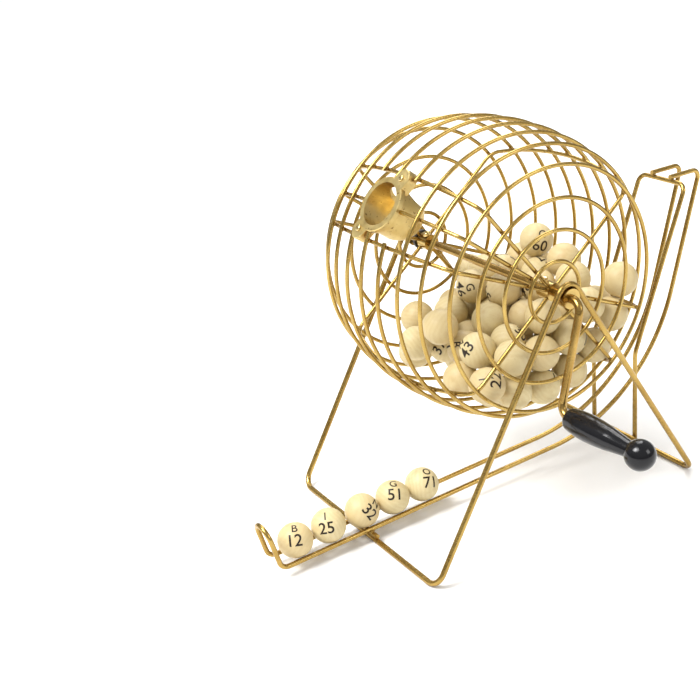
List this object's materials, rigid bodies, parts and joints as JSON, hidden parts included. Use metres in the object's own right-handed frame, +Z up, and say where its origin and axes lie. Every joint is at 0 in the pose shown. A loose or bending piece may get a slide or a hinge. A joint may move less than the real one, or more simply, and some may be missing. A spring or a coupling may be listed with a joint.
{
  "type": "bingo cage",
  "caption": "Wire ball cage that turns on a bent-wire stand by a crank, with a ball cup and a two-rail runway that holds drawn balls in front.",
  "frame": {"origin": "middle of the object's footprint, on the surface that it stands on", "axes": "+X along the axle towards the crank, +Y to the back where the runway rises, +Z up"},
  "size_m": [0.253, 0.352, 0.2438],
  "materials": {
    "drum_wire": "satin brass-plated wire",
    "stand_wire": "satin brass-plated wire",
    "cast_brass": "cast brass with a satin polish",
    "turned_brass": "turned and polished brass",
    "screw_brass": "polished brass screw",
    "axle_rod": "satin brass-plated rod",
    "black_spacer": "black moulded washer",
    "black_handle": "turned wood under gloss black lacquer",
    "pale_wood": "turned hardwood, lightly sealed"
  },
  "bodies": {
    "stand": {"leg_frame_far": "stand_wire", "leg_frame_near": "stand_wire", "base_bar_front": "stand_wire", "base_bar_rear": "stand_wire", "bush_far": "turned_brass", "bush_near": "turned_brass", "runway_rails": "stand_wire", "chute_guard": "stand_wire", "rail_tie": "stand_wire", "caged_balls": "pale_wood"},
    "drum": {"axle_end_cap": "turned_brass", "crank_axle": "axle_rod", "cup_bowl": "cast_brass", "cup_rib_far": "drum_wire", "cup_rib_near": "drum_wire", "cup_ring": "cast_brass", "cup_screws": "screw_brass", "far_ring_1": "drum_wire", "far_ring_2": "drum_wire", "far_ring_3": "drum_wire", "far_ring_4": "drum_wire", "far_spacer": "black_spacer", "hoop_1": "drum_wire", "hoop_2": "drum_wire", "hoop_3": "drum_wire", "hoop_4": "drum_wire", "hoop_5": "drum_wire", "hoop_6": "drum_wire", "hoop_7": "drum_wire", "hub_far": "turned_brass", "hub_near": "turned_brass", "hub_screw_far": "screw_brass", "hub_screw_near": "screw_brass", "near_ring_1": "drum_wire", "near_ring_2": "drum_wire", "near_ring_3": "drum_wire", "near_ring_4": "drum_wire", "rib_1": "drum_wire", "rib_2": "drum_wire", "rib_3": "drum_wire", "rib_4": "drum_wire", "rib_5": "drum_wire", "rib_6": "drum_wire"},
    "handle": {"crank_handle": "black_handle"},
    "called_balls": {"called_ball_1": "pale_wood", "called_ball_2": "pale_wood", "called_ball_3": "pale_wood", "called_ball_4": "pale_wood", "called_ball_5": "pale_wood"}
  },
  "joints": [
    {"name": "drum_spin", "type": "hinge", "parent": "stand", "child": "drum", "pos_m": [-0.0373, -0.00148, 0.1535], "axis": [1, 0, 0], "continuous": true},
    {"name": "handle_spin", "type": "hinge", "parent": "drum", "child": "handle", "pos_m": [0.0605, -0.01856, 0.08975], "axis": [1, 0, 0], "continuous": true},
    {"name": "called_balls_roll", "type": "slide", "parent": "stand", "child": "called_balls", "axis": [0, 0.9997, 0.0262], "range_m": [0, 0.08]}
  ]
}
